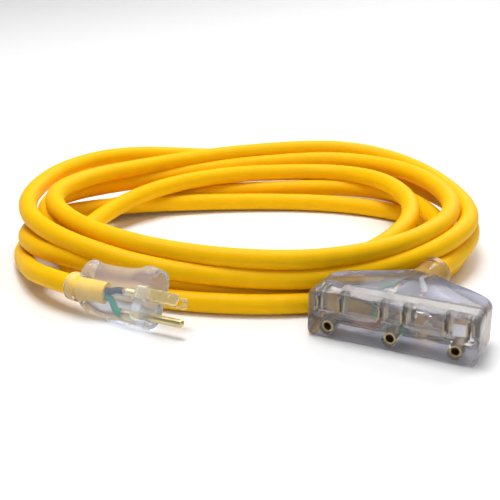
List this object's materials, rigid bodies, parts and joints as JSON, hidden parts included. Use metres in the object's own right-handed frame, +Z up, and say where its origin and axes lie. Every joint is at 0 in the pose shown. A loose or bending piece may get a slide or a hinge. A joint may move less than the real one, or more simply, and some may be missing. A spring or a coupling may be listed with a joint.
{
  "type": "extension cord",
  "caption": "Coiled heavy-duty outdoor extension cord with a clear grounded plug and a clear moulded multi-outlet power block.",
  "frame": {"origin": "middle of the power block's footprint, on the surface that it rests on", "axes": "+Z up; +X along the row of outlets, to the right as they are looked at; -Y the way the outlets face; the cord leaves the block towards +Y"},
  "size_m": [0.3388, 0.2929, 0.0477],
  "materials": {
    "yellow_jacket": "satin vinyl with a very fine grain",
    "clear_moulding": "clear soft vinyl, glossy",
    "clear_insert": "clear hard plastic, glossy",
    "brass_parts": "bright stamped brass",
    "bare_copper": "stranded bare copper",
    "black_insulation": "smooth vinyl",
    "white_insulation": "smooth vinyl",
    "green_insulation": "smooth vinyl",
    "lamp_glass": "small glass lamp bulb",
    "resistor_body": "lacquered ceramic",
    "tinned_wire": "tinned lead wire"
  },
  "bodies": {
    "root": {"block_black_strands": "bare_copper", "block_black_wire": "black_insulation", "block_body": "clear_moulding", "block_green_strands": "bare_copper", "block_green_wire": "green_insulation", "block_jacket_end": "yellow_jacket", "block_lead": "yellow_jacket", "block_white_strands": "bare_copper", "block_white_wire": "white_insulation", "contact_carrier": "clear_insert", "cord_coil": "yellow_jacket", "ground_bus_bar": "brass_parts", "ground_sleeve_1": "brass_parts", "ground_sleeve_2": "brass_parts", "ground_sleeve_3": "brass_parts", "hot_bus_bar": "brass_parts", "hot_contact_1": "brass_parts", "hot_contact_2": "brass_parts", "hot_contact_3": "brass_parts", "indicator_lamp": "lamp_glass", "lamp_hot_lead": "tinned_wire", "lamp_neutral_lead": "tinned_wire", "lamp_resistor": "resistor_body", "lamp_series_lead": "tinned_wire", "neutral_bus_bar": "brass_parts", "neutral_contact_1": "brass_parts", "neutral_contact_2": "brass_parts", "neutral_contact_3": "brass_parts", "plug_black_strands": "bare_copper", "plug_black_wire": "black_insulation", "plug_blade_carrier": "clear_insert", "plug_body": "clear_moulding", "plug_green_strands": "bare_copper", "plug_green_wire": "green_insulation", "plug_ground_pin": "brass_parts", "plug_hot_blade": "brass_parts", "plug_jacket_end": "yellow_jacket", "plug_lead": "yellow_jacket", "plug_neutral_blade": "brass_parts", "plug_white_strands": "bare_copper", "plug_white_wire": "white_insulation"}
  },
  "joints": []
}
